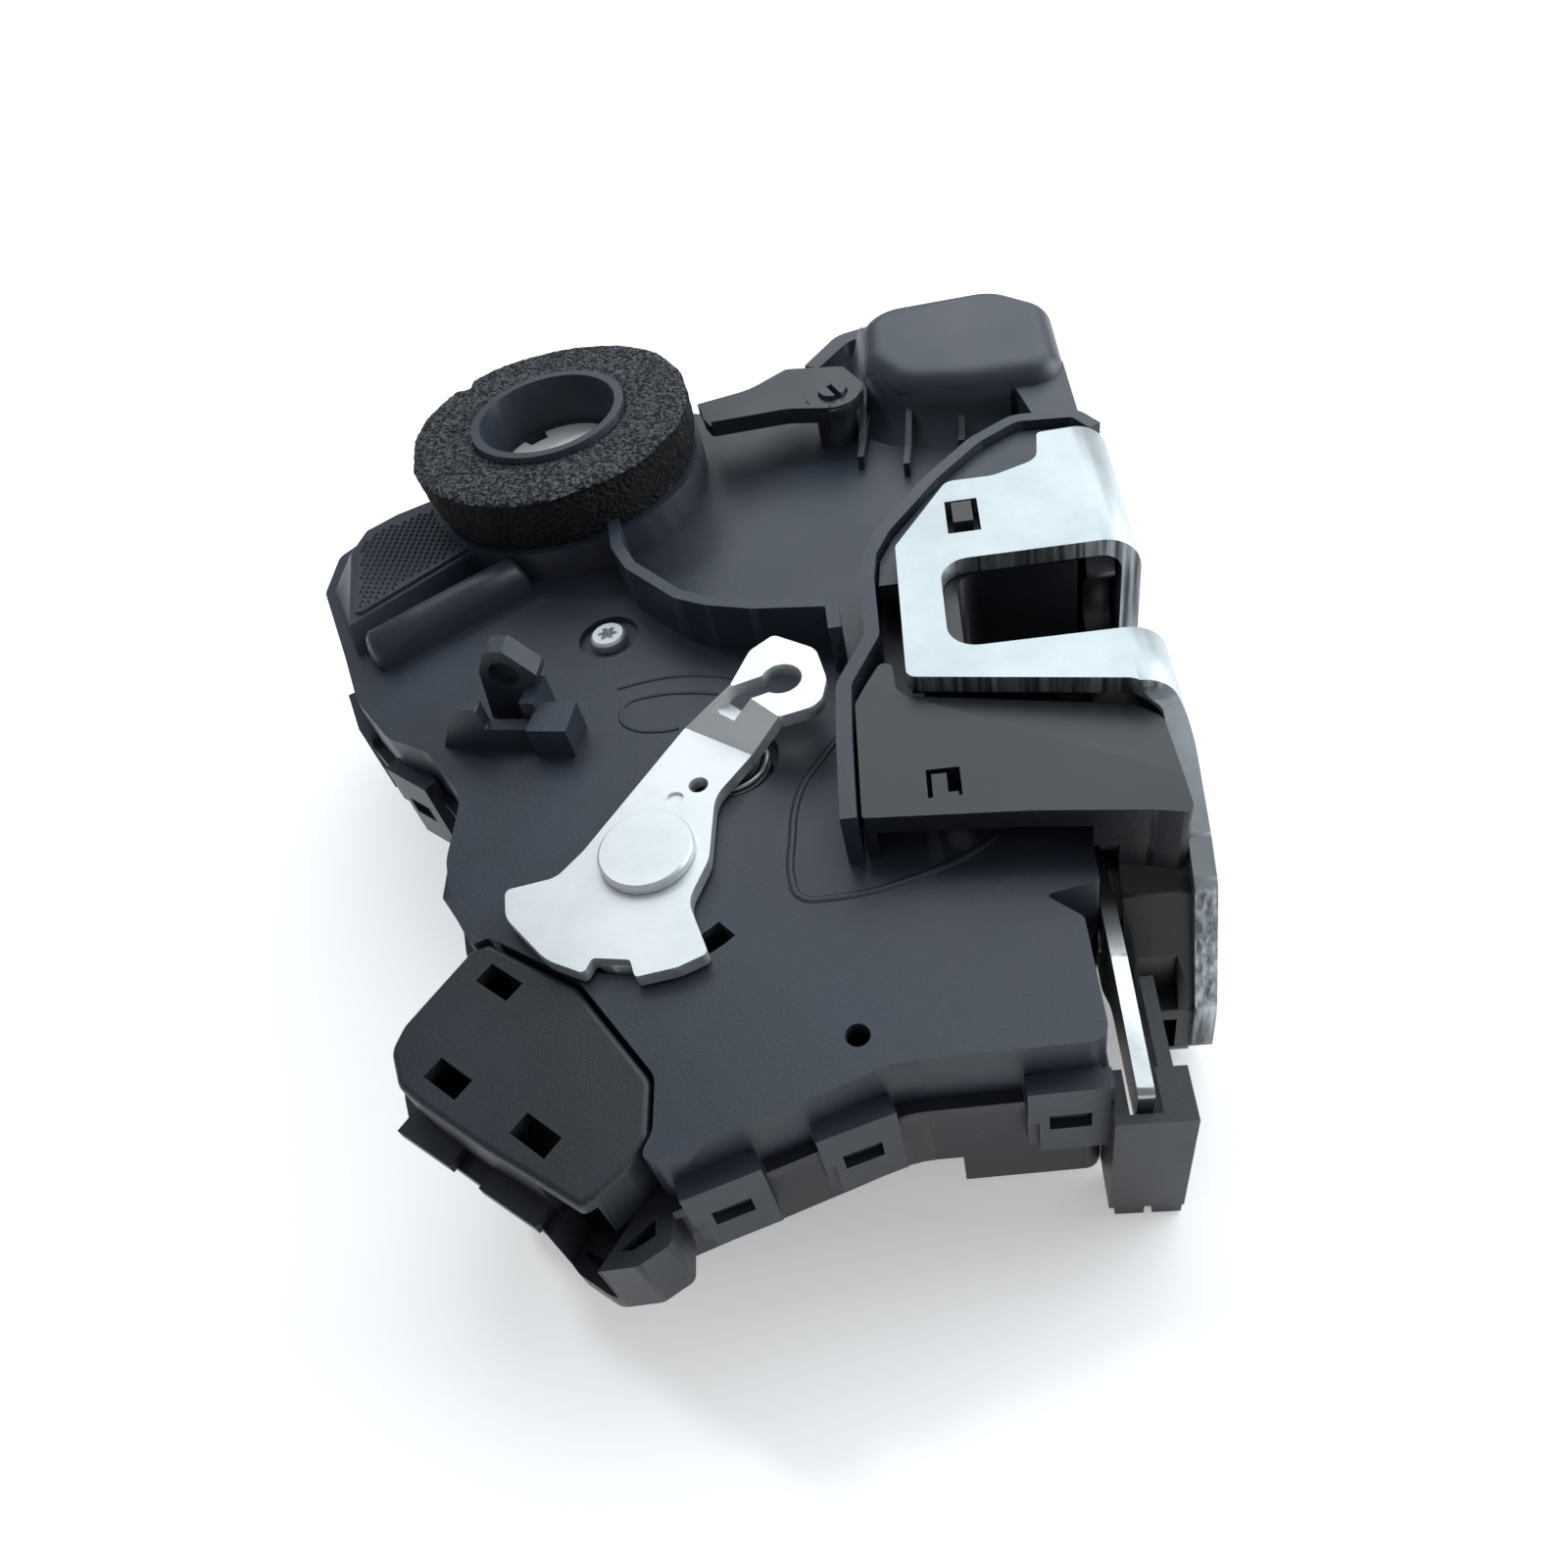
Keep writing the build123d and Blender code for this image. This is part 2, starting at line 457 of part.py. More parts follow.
# ---------------------------------------------------------------- steel face plate
plate_low = -33.0
profile = make_face([
    Line((-33.2, flange_top), (-bend_r, flange_top)),
    CenterArc((-bend_r, flange_top - bend_r), bend_r, 0, 90),
    Line((0, flange_top - bend_r), (0, plate_low)), Line((0, plate_low), (-steel, plate_low)),
    Line((-steel, plate_low), (-steel, flange_top - bend_r)),
    CenterArc((-bend_r, flange_top - bend_r), bend_r - steel, 0, 90),
    Line((-bend_r, flange_top - steel), (-33.2, flange_top - steel)),
    Line((-33.2, flange_top - steel), (-33.2, flange_top)),
])
plate = Pos(0, 37, 0) * extrude(Plane.XZ * profile, amount=85)
flange_rows = [
    (-33.0, 13.4, 1.5), (-24.9, 27.1, 2), (-18.0, 27.0, 4), (-11.4, 29.6, 3),
    (-10.6, 36.4, 0.8), (2.0, 36.8, 0.5), (2.0, -48.0, 0.5), (-3.0, -48.0, 0.3),
    (-3.0, -20.6, 1.5), (-6.0, -17.8, 2), (-32.9, -13.1, 1.5),
]
plate &= slab(outline(flange_rows), -40, 12)
face_rows = [
    (36.8, 12.0, 0.5), (-17.9, 12.0, 0.5), (-18.8, 8.0, 2), (-34.9, 0.5, 4),
    (-39.8, -2.6, 3), (-46.4, -19.4, 4), (-46.9, -27.0, 3), (-43.0, -33.0, 2),
    (31.0, -33.0, 3), (36.8, -26.0, 3),
]
plate &= side(outline(face_rows), -40, 2)
plate -= slab(outline([(slot_x, -mouth, 4), (4, -mouth, 0.3), (4, mouth, 0.3),
                       (slot_x, mouth, 4)]), 4.0, 12)
mouth_face = Pos(0, striker_z) * Circle(mouth) + plain(
    [(-mouth, striker_z), (mouth, striker_z), (mouth, 13), (-mouth, 13)])
plate -= side(mouth_face, -6.0, 2)
plate -= box(-25.5, -20.9, 14.6, 22.1, 5, 12)
collar_r = 3.5
bolt_spots = [(-37.5, -24.5), (30.0, 0.0), (-6.0, -28.9)]
for by, bz in bolt_spots:
    plate += rod(by, bz, collar_r, -4.6, -steel + 0.1)
    plate -= rod(by, bz, 2.55, -6, 1)
plate -= rod(claw_y, claw_z, claw_pin_r + 0.02, -5, 1)
plate -= rod(pawl_y, pawl_z, pawl_pin_r + 0.02, -5, 1)
save(plate, "face_plate")

# ---------------------------------------------------------------- latch case
case_rows = [
    (36.0, 4.4, 1), (-18.6, 4.4, 2), (-34.0, -1.6, 3), (-38.6, -4.0, 3),
    (-45.6, -20.0, 3), (-46.2, -29.0, 3), (-43.0, -33.6, 2), (30.6, -33.6, 3),
    (36.0, -27.0, 3),
]
case_face = outline(case_rows)
case = side(case_face, case_x, -steel)
cavity_face = outline([
    (-31.0, -21.4, 2), (-31.0, -4.0, 2), (-24.0, -1.6, 1), (-13.0, 0.6, 1), (-12.6, 8.0, 0.3),
    (21.0, 8.0, 0.3), (27.4, -7.0, 3), (29.6, -26.0, 4), (23.0, -29.6, 3), (9.0, -29.6, 3),
    (2.0, -24.4, 2), (-13.0, -24.4, 2), (-17.0, -22.0, 1),
])
case -= side(cavity_face, cavity_x, 0)
bore = 8.7
trough = box(-29.0, cavity_x, -11.2, 12.2, striker_z, 7.2)
trough += side(Pos(0, striker_z) * Circle(10.9), -29.0, cavity_x)
trough += box(-28.4, cavity_x, 11.0, 24.4, 5.0, 7.2)
trough += box(-32.4, -28.0, -11.2, 12.2, 5.0, 7.2)
trough += box(-24.6, -21.8, 16.4, 21.0, 7.0, 10.5)
case += trough
channel = make_face([
    Line((-bore, 14), (-bore, striker_z)),
    ThreePointArc((-bore, striker_z), (0, striker_z - bore), (bore, striker_z)),
    Line((bore, striker_z), (bore, 14)), Line((bore, 14), (-bore, 14)),
])
case -= side(channel, cavity_x - 3.0, 0)
case -= side(channel, -25.2, cavity_x) & slab(
    outline([(-25.2, -bore, 3), (0, -bore, 0.3), (0, bore, 0.3), (-25.2, bore, 3)]), -30, 14)
# relief pockets round the collars: square with round corners, and deep enough for bolt tips
pocket = 2 * (collar_r + 0.1)
for by, bz in bolt_spots:
    case -= side(Pos(by, bz) * RectangleRounded(pocket, pocket, 2.4), -7.9, 0)
case += rod(claw_y, claw_z, claw_pin_r + 1.6, cavity_x - 0.5, claw_x0 - 0.2)
case -= rod(claw_y, claw_z, claw_pin_r + 0.02, -12, 0)
case -= rod(pawl_y, pawl_z, pawl_pin_r + 0.02, -12, 0)
case -= side(sector(rel_y, rel_z, 8.4, 12.8, -14, 25), -12, cavity_x + 1)
case -= box(-9.0, -4.4, -47.0, -42.4, -20.0, -8.0)
case -= box(-9.0, -4.4, -47.0, -42.4, -28.0, -22.0)
case -= rod(rel_y, rel_z, 2.02, -12, -5)
case = case.solids().sort_by(SortBy.VOLUME)[-1]
save(case, "latch_case")

bumper = side(Pos(0, striker_z) * Circle(bore), -24.0, -11.0)
bumper &= box(-30, 0, -20, 20, -25, striker_z - 4.5)
bumper -= side(Pos(0, striker_z) * Circle(5.0), -30, 0)
save(bumper, "striker_bumper")

# ---------------------------------------------------------------- latch cover
cap_rows = [
    (-39.7, -14.4, 2), (-35.0, -4.0, 1), (-34.4, -12.4, 1), (-33.2, -14.0, 1.5),
    (-6.0, -18.8, 3), (-3.1, -21.6, 2), (-2.7, -37.2, 1), (-7.0, -36.2, 8),
    (-20.0, -34.6, 20), (-37.0, -33.4, 2), (-39.4, -33.2, 0.4),
]
cap_face = outline(cap_rows)
cap = slab(cap_face, -8.0, 7.5)
cap -= box(-38.0, -13.4, -40, 0, -10, 4.6)
cap -= box(-45, -13.4, -40, 0, -10, 0.02)
cap -= side(case_face, -14, 0)
cap -= box(-13.5, -10.4, -40, 0, -10, 1.0)
cap -= slab(offset(cap_face, amount=-1.8), -2, 5.0) & box(-11.0, -4.5, -32, -20, -2, 5.0)
facet = Plane(origin=(-32.7, -14.2, 7.5), x_dir=(28.9, -16.8, 0.0), z_dir=(0.05, 0.086, 1.0))
cap -= facet * Box(80, 30, 10, align=(Align.CENTER, Align.MIN, Align.MIN))
cap -= box(-31.6, -27.6, -31.2, -26.8, 3, 9)
cap += box(-31.0, -29.2, -30.4, -27.4, 3.6, 7.3) + box(-31.0, -28.0, -31.5, -30.4, 3.6, 7.3)
cap = cap.solids().sort_by(SortBy.VOLUME)[-1]
save(cap, "latch_cover")

# ---------------------------------------------------------------- claw and pawl
claw_rows = [
    (-21.0, 13.8, 1.5), (-8.0, 13.8, 4), (6.0, 9.2, 4), (9.6, 0.0, 5), (5.6, -9.0, 5),
    (-6.0, -9.0, 4), (-14.0, -6.4, 4), (-26.4, -4.4, 1.2), (-26.8, 0.4, 0.6),
    (-12.4, 0.4, 4.5), (-12.4, 9.6, 4.5), (-21.0, 9.6, 1.0),
]
claw_flat = Pos(claw_y, claw_z) * Rot(0, 0, -claw_open) * outline(claw_rows)
claw = side(claw_flat, claw_x0, claw_x1)
claw -= rod(claw_y, claw_z, claw_pin_r + pin_gap, -10, 0)
save(claw, "claw")

claw_pin = rod(claw_y, claw_z, claw_pin_r, case_x, -0.1)
save(claw_pin, "claw_pin")

nose_rows = [
    (3.6, -4.4, 2), (-3.0, -4.6, 2), (-9.0, -3.2, 0.8), (-9.0, 1.6, 0.8), (-3.0, 4.6, 2),
    (3.6, 4.4, 2), (9.4, -3.8, 1), (11.1, -9.4, 0.5), (6.4, -9.8, 0.8),
]
pawl_flat = Pos(pawl_y, pawl_z) * Rot(0, 0, -pawl_ride) * outline(nose_rows)
pawl = side(pawl_flat, claw_x0, claw_x1)
pawl -= rod(pawl_y, pawl_z, pawl_pin_r + pin_gap, -10, 0)
save(pawl, "pawl")
save(rod(pawl_y, pawl_z, pawl_pin_r, case_x, -0.1), "pawl_pin")

# ---------------------------------------------------------------- release lever
rel_rows = [
    (-63.0, -6.6, 1), (-46.0, -6.0, 6), (-38.0, -6.4, 4), (-25.4, -9.4, 3), (-25.4, -15.4, 3),
    (-34.0, -20.4, 4), (-42.0, -20.0, 4), (-48.0, -14.4, 6), (-63.0, -13.4, 1),
]
release = side(outline(rel_rows), rel_x0, rel_x1)
release -= rod(rel_y, rel_z, 2.0 + pin_gap, -20, 0)
release += rod(rel_y + 10.5, rel_z + 1.2, 1.5, rel_x1 - 0.5, -5.0)
save(release, "release_lever")
rel_pin = rod(rel_y, rel_z, 2.0, rel_x0 - 0.2, -6.0)
save(rel_pin, "release_pin")

# ---------------------------------------------------------------- lock motor and gears
can = rod(motor_y, motor_z, motor_r, motor_x0, motor_x1)
can = fillet(can.edges().filter_by(GeomType.CIRCLE), 1.0)
can &= box(-60, 0, motor_y - motor_r, motor_y + motor_r, motor_z - 9.6, motor_z + motor_r)
can += rod(motor_y, motor_z, 3.6, motor_x0 - 1.8, motor_x0 + 0.5)
for dy in (-5.0, 5.0):
    can += box(motor_x1 - 0.5, motor_x1 + 2.4, motor_y + dy - 1.4, motor_y + dy + 1.4,
               motor_z - 0.3, motor_z + 0.3)
can -= rod(motor_y, motor_z, 1.3, motor_x0 - 3, motor_x0 + 8)
save(can, "lock_motor")

worm_x0, worm_length = wheel_x - 2.25 * worm_lead, 12.0
thread = Helix(pitch=worm_lead, height=worm_length, radius=2.4)
tooth_plane = Plane(origin=thread @ 0, x_dir=(1, 0, 0), z_dir=thread % 0)
tooth_flat = plain([(-0.2, -0.95), (1.85, -0.42), (1.85, 0.42), (-0.2, 0.95)])
worm = sweep(tooth_plane * tooth_flat, path=thread, is_frenet=True)
base_end = (Align.CENTER, Align.CENTER, Align.MIN)
worm += Pos(0, 0, -1.2) * Cylinder(2.5, worm_length + 2.4, align=base_end)
worm -= Pos(0, 0, -2) * Cylinder(1.0, 20, align=base_end)
worm = Pos(worm_x0, motor_y, motor_z) * Rot(0, 90, 0) * worm
save(worm, "worm_gear")
save(rod(motor_y, motor_z, 1.0, worm_x0 - 2.5, motor_x0 + 6), "motor_shaft")

pitch_r = gear_module * wheel_teeth / 2
root_r, tip_r = pitch_r - 1.15, pitch_r + 0.85
wheel_flat = Circle(root_r)
tooth = plain([(root_r - 0.3, -0.95), (pitch_r, -0.52), (tip_r, -0.2), (tip_r, 0.2),
               (pitch_r, 0.52), (root_r - 0.3, 0.95)])
for n in range(wheel_teeth):
    wheel_flat += Rot(0, 0, 90 + n * 360 / wheel_teeth) * tooth
wheel = slab(wheel_flat, motor_z - wheel_half, motor_z + wheel_half)
wheel += post(0, 0, 5.0, motor_z - wheel_half - 2.0, motor_z + wheel_half)
wheel += post(-9.0, 0, 1.6, lock_z0 - 0.4, motor_z)
wheel -= post(0, 0, 2.0 + pin_gap, -20, 4)
save(Pos(wheel_x, wheel_y, 0) * wheel, "worm_wheel")
axle = post(wheel_x, wheel_y, 2.0, shallow_z + 3, -face_t)
save(axle, "wheel_axle")

fork_rows = [
    (-4.4, -4.4, 3), (6.0, -4.0, 2), (22.0, -4.2, 1), (22.0, -1.95, 0.6), (13.0, -1.95, 1.8),
    (13.0, 1.95, 1.8), (22.0, 1.95, 0.6), (22.0, 4.2, 1), (6.0, 4.0, 2), (-4.4, 4.4, 3),
]
fork = slab(outline(fork_rows), lock_z0, lock_z1)
fork -= post(0, 0, 1.5 + pin_gap, -20, 0)
save(Pos(lock_x, lock_y, 0) * fork, "lock_lever")
save(post(lock_x, lock_y, 1.5, shallow_z + 3, lock_z1 + 1), "lock_pin")

# ---------------------------------------------------------------- lock switch
switch = box(-66.0, -54.0, 26.0, 32.0, shallow_z + wall, -14.0)
switch += box(-62.0, -58.0, 31.5, 32.6, -18.0, -16.0)
save(switch, "lock_switch")

# ---------------------------------------------------------------- springs in the case
def hairpin(cy, cz, r, a0, a1, reach, name):
    """Round-wire torsion spring lying behind the claw or the pawl."""
    ring = CenterArc((0, 0), r, a0, a1 - a0)
    first, last = ring @ 0, ring @ 1
    lead = Line(first - (ring % 0) * reach, first)
    tail = Line(last, last + (ring % 1) * reach)
    line = Pos(cy, cz) * (lead + ring + tail)
    wire = Plane.YZ * line
    wire = Pos(-7.9, 0, 0) * wire
    start = wire.wires()[0] if hasattr(wire, "wires") else wire
    flat = Plane(origin=start @ 0, z_dir=start % 0) * Circle(0.45)
    save(sweep(flat, path=start), name)


hairpin(claw_y, claw_z, 7.4, 40, 310, 6.0, "claw_spring")
hairpin(pawl_y, pawl_z, 4.0, 20, 250, 3.5, "pawl_spring")

# ---------------------------------------------------------------- housing screws
screw = post(0, 0, 2.75, -1.1, 0.6)
screw = chamfer(screw.edges().group_by(Axis.Z)[-1], 0.4)
screw += post(0, 0, 1.28, -18.0, -1.0)
star = Circle(0.95)
for n in range(6):
    star += Rot(0, 0, 60 * n) * Pos(1.1, 0) * Circle(0.38)
screw -= slab(star, -0.6, 1)
save(Pos(screw_x, screw_y, 0.12) * screw, "housing_screw")
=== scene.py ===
import math

import bmesh
import bpy
from mathutils import Matrix, Vector, noise


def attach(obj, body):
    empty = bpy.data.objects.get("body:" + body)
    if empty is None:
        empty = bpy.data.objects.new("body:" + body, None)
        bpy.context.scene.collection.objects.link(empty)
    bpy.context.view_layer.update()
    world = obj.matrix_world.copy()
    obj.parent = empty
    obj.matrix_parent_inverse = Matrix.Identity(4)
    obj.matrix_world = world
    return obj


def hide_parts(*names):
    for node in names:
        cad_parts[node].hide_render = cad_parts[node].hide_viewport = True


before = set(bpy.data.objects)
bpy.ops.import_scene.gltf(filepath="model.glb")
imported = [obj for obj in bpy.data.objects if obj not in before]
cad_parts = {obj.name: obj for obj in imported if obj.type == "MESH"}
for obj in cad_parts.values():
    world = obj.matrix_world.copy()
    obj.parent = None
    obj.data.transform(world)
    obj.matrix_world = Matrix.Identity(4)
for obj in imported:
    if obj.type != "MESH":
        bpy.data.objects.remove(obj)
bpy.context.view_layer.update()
MM = 0.001

# Front housing: one black moulding, injected in glass-filled nylon with a finely sparked
# skin.  It carries the other pieces and is clipped over the back cover.
HOUSING_DARK = (0.019, 0.025, 0.038, 1)
HOUSING_PALE = (0.031, 0.038, 0.056, 1)


def plastic(name, dark, pale, roughness, grain=0.35, patch=60.0, grain_size=2600.0):
    """Moulded skin: slow patches of tone and gloss over a fine spark grain."""
    mat = bpy.data.materials.new(name)
    mat.use_nodes = True
    nodes, links = mat.node_tree.nodes, mat.node_tree.links
    shader = nodes["Principled BSDF"]
    shader.inputs["Specular IOR Level"].default_value = 0.5
    where = nodes.new("ShaderNodeTexCoord")
    cloud = nodes.new("ShaderNodeTexNoise")
    cloud.inputs["Scale"].default_value = patch
    cloud.inputs["Detail"].default_value = 5
    links.new(where.outputs["Object"], cloud.inputs["Vector"])
    tone = nodes.new("ShaderNodeValToRGB")
    tone.color_ramp.elements[0].position = 0.3
    tone.color_ramp.elements[0].color = dark
    tone.color_ramp.elements[1].position = 0.72
    tone.color_ramp.elements[1].color = pale
    links.new(cloud.outputs["Fac"], tone.inputs["Fac"])
    links.new(tone.outputs["Color"], shader.inputs["Base Color"])
    gloss = nodes.new("ShaderNodeMapRange")
    gloss.inputs["From Min"].default_value = 0.3
    gloss.inputs["From Max"].default_value = 0.7
    gloss.inputs["To Min"].default_value = roughness - 0.05
    gloss.inputs["To Max"].default_value = roughness + 0.07
    links.new(cloud.outputs["Fac"], gloss.inputs["Value"])
    links.new(gloss.outputs["Result"], shader.inputs["Roughness"])
    spark = nodes.new("ShaderNodeTexNoise")
    spark.inputs["Scale"].default_value = grain_size
    spark.inputs["Detail"].default_value = 3
    links.new(where.outputs["Object"], spark.inputs["Vector"])
    bump = nodes.new("ShaderNodeBump")
    bump.inputs["Strength"].default_value = grain
    bump.inputs["Distance"].default_value = 0.0001
    links.new(spark.outputs["Fac"], bump.inputs["Height"])
    links.new(bump.outputs["Normal"], shader.inputs["Normal"])
    return mat


def coat(node, mat, soften=0.0):
    """Gives a CAD node its finish and, where asked, rounds its edges by a hair."""
    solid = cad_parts[node]
    solid.data.materials.clear()
    solid.data.materials.append(mat)
    if soften:
        weld = solid.modifiers.new("weld", "WELD")
        weld.merge_threshold = 0.00001
        round_off = solid.modifiers.new("edge", "BEVEL")
        round_off.width = soften * MM
        round_off.segments = 2
        round_off.limit_method = "ANGLE"
        round_off.angle_limit = math.radians(40)
        round_off.use_clamp_overlap = True
        round_off.harden_normals = True


def piece(name, mesh, mat, body="housing"):
    """A dressed piece made of a bmesh, riding on a body of the frame."""
    data = bpy.data.meshes.new(name)
    mesh.to_mesh(data)
    mesh.free()
    data.materials.append(mat)
    thing = bpy.data.objects.new(name, data)
    bpy.context.scene.collection.objects.link(thing)
    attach(thing, body)
    return thing


housing_skin = plastic("housing skin", HOUSING_DARK, HOUSING_PALE, 0.42)
coat("front_housing", housing_skin, 0.35)

# Grip pad and ridge by the key tube: rows of small moulded studs on the raised corner and
# on the slope of the ridge, cut in the tool and left sharp.
PAD_TURN = math.radians(36)
PAD_AREA = [(-121.8, 38.6), (-119.8, 42.6), (-111.0, 46.6), (-103.2, 34.6), (-117.6, 22.0)]
SLOPE_AREA = [(-113.4, 18.4), (-97.4, 29.6), (-99.6, 32.6), (-115.6, 21.6)]
STUD_PITCH, STUD_HALF, STUD_TALL = 1.42, 0.62, 0.45
STUD_ROW_STEP = 0.62      # rows lie closer than the studs of one row
STUD_ROWS = 16
PAD_TOP = 5.1


def inside(x, y, area):
    """True where a point lies inside a closed outline."""
    hit = False
    for (x0, y0), (x1, y1) in zip(area, area[1:] + area[:1]):
        if (y0 > y) != (y1 > y) and x < (x1 - x0) * (y - y0) / (y1 - y0) + x0:
            hit = not hit
    return hit


def studs(mesh, area, height_at):
    """Four-sided studs on a turned grid, standing on a sloped or flat area."""
    turn_x, turn_y = math.cos(PAD_TURN), math.sin(PAD_TURN)
    cx = sum(p[0] for p in area) / len(area)
    cy = sum(p[1] for p in area) / len(area)
    for row in range(-STUD_ROWS, STUD_ROWS + 1):
        for col in range(-STUD_ROWS, STUD_ROWS + 1):
            u = (col + 0.5 * (row % 2)) * STUD_PITCH
            v = row * STUD_PITCH * STUD_ROW_STEP
            x, y = cx + u * turn_x - v * turn_y, cy + u * turn_y + v * turn_x
            if not inside(x, y, area):
                continue
            foot = []
            for du, dv in ((-1, 0), (0, -0.8), (1, 0), (0, 0.8)):
                fx = x + STUD_HALF * (du * turn_x - dv * turn_y)
                fy = y + STUD_HALF * (du * turn_y + dv * turn_x)
                foot.append(mesh.verts.new((fx * MM, fy * MM, (height_at(fx, fy) - 0.05) * MM)))
            tip = mesh.verts.new((x * MM, y * MM, (height_at(x, y) + STUD_TALL) * MM))
            for a, b in zip(foot, foot[1:] + foot[:1]):
                mesh.faces.new((a, b, tip))
            mesh.faces.new(foot[::-1])


RIDGE_X, RIDGE_Y, RIDGE_TURN = -112.6, 13.2, math.radians(35)
SLOPE_NEAR, SLOPE_FAR = 3.4, 8.6      # across the ridge, where the slope starts and ends
SLOPE_HIGH, SLOPE_LOW = 5.2, 0.9


def ridge_slope(x, y):
    """Height of the ridge's rear slope, falling away from its rounded top."""
    away = -(x - RIDGE_X) * math.sin(RIDGE_TURN) + (y - RIDGE_Y) * math.cos(RIDGE_TURN)
    fall = (SLOPE_HIGH - SLOPE_LOW) / (SLOPE_FAR - SLOPE_NEAR)
    return SLOPE_HIGH - (away - SLOPE_NEAR) * fall


grip = bmesh.new()
studs(grip, PAD_AREA, lambda x, y: PAD_TOP)
studs(grip, SLOPE_AREA, ridge_slope)
piece("grip_studs", grip, housing_skin)

# Rounded top of the ridge, flank and fins of the motor bulge, and the deck beside the flange:
# soft forms of the same mouldings, blended in the tool where the walls meet.
RIDGE_MID = 1.8           # middle of the rounded top, across the ridge
RIDGE_CUT = [(-0.8, -0.3), (-0.45, 2.4), (0.05, 4.1), (0.9, 5.1), (2.0, 5.5), (3.2, 5.35),
             (4.1, 4.7), (4.1, -0.3)]
RIDGE_ENDS = [(-1.7, 0.02), (-1.5, 0.5), (-1.0, 0.82), (-0.2, 1.0), (8.0, 1.02), (16.0, 1.02),
              (24.2, 1.0), (25.0, 0.82), (25.5, 0.5), (25.7, 0.02)]


def skin(mesh, rows):
    """Closes neighbouring rows of points, in millimetres, with four-sided faces."""
    grid = [[mesh.verts.new(Vector(p) * MM) for p in row] for row in rows]
    for row, other in zip(grid, grid[1:]):
        for i in range(len(row) - 1):
            mesh.faces.new((row[i], row[i + 1], other[i + 1], other[i]))


def smooth(thing):
    """Smooth shading for a blended form."""
    for face in thing.data.polygons:
        face.use_smooth = True
    return thing


ridge_rows = []
for along, full in RIDGE_ENDS:
    row = []
    for across, z in RIDGE_CUT:
        across = RIDGE_MID + (across - RIDGE_MID) * (0.55 + 0.45 * full)
        row.append((RIDGE_X + along * math.cos(RIDGE_TURN) - across * math.sin(RIDGE_TURN),
                    RIDGE_Y + along * math.sin(RIDGE_TURN) + across * math.cos(RIDGE_TURN),
                    z * full if z > 0 else z))
    ridge_rows.append(row)
ridge = bmesh.new()
skin(ridge, ridge_rows)
smooth(piece("ridge_top", ridge, housing_skin))

FLANK_SLOPE = [(-0.7, 8.6), (0.25, 7.2), (0.7, 5.6), (1.3, 3.8), (2.3, 2.0), (3.6, 0.6),
               (4.6, -0.1)]      # distance out from the bulge, height
CORNER_CUTS = 3
edge = [(-36.6, 80.0), (-36.6, 66.0), (-31.0, 57.0), (-20.0, 54.2), (-12.6, 53.8)]
for _ in range(CORNER_CUTS):
    rounded = [edge[0]]
    for (x0, y0), (x1, y1) in zip(edge, edge[1:]):
        rounded += [(x0 * 0.75 + x1 * 0.25, y0 * 0.75 + y1 * 0.25),
                    (x0 * 0.25 + x1 * 0.75, y0 * 0.25 + y1 * 0.75)]
    edge = rounded + [edge[-1]]
flank_rows = []
for out, z in FLANK_SLOPE:
    row = []
    for i, (x, y) in enumerate(edge):
        before, after = edge[max(i - 1, 0)], edge[min(i + 1, len(edge) - 1)]
        along = Vector((after[0] - before[0], after[1] - before[1])).normalized()
        row.append((x + out * along.y, y - out * along.x, z))
    flank_rows.append(row)
flank = bmesh.new()
skin(flank, flank_rows)
smooth(piece("bulge_flank", flank, housing_skin))

FIN_HALF = 0.5
FINS = [((-35.8, 69.6), (-37.8, 48.3), 7.4), ((-28.6, 60.4), (-30.4, 44.6), 7.0),
        ((-20.4, 56.7), (-21.2, 47.5), 6.4)]      # start at the bulge, end, height at the start
fins = bmesh.new()
for (x0, y0), (x1, y1), high in FINS:
    along = Vector((x1 - x0, y1 - y0)).normalized() * FIN_HALF
    sides = []
    for sign in (-1, 1):
        dx, dy = -along.y * sign, along.x * sign
        sides.append([fins.verts.new(Vector(p) * MM) for p in (
            (x0 + dx, y0 + dy, -0.2), (x1 + dx, y1 + dy, -0.2), (x1 + dx, y1 + dy, 0.4),
            (x0 + dx, y0 + dy, high))])
    left, right = sides
    fins.faces.new(left)
    fins.faces.new(right[::-1])
    for i in range(4):
        fins.faces.new((left[i], right[i], right[(i + 1) % 4], left[(i + 1) % 4]))
bmesh.ops.recalc_face_normals(fins, faces=fins.faces)
piece("bulge_fins", fins, housing_skin)

DECK = [(-35.8, 9.0), (-35.4, 14.4), (-33.2, 19.6), (-26.0, 30.4), (-19.2, 38.0), (-12.8, 42.2),
        (-4.8, 41.4), (-3.4, 37.6), (-9.8, 37.2), (-10.4, 29.0), (-17.6, 26.2), (-24.4, 26.4),
        (-32.0, 13.4), (-32.0, 9.0)]
DECK_LOW, DECK_THICK = 4.4, 2.5
deck = bmesh.new()
base = deck.faces.new([deck.verts.new((x * MM, y * MM, DECK_LOW * MM)) for x, y in DECK])
grown = bmesh.ops.extrude_face_region(deck, geom=[base])["geom"]
for vert in grown:
    if isinstance(vert, bmesh.types.BMVert):
        vert.co.z += DECK_THICK * MM
bmesh.ops.recalc_face_normals(deck, faces=deck.faces)
piece("flange_deck", deck, housing_skin)

# Moulded lines on the broad face: a long bead, the rim of a shallow pocket beside the cable
# lever, and the rim of the pad under the latch cover.  All are part of the housing's skin.
BEAD_HIGH = 0.22


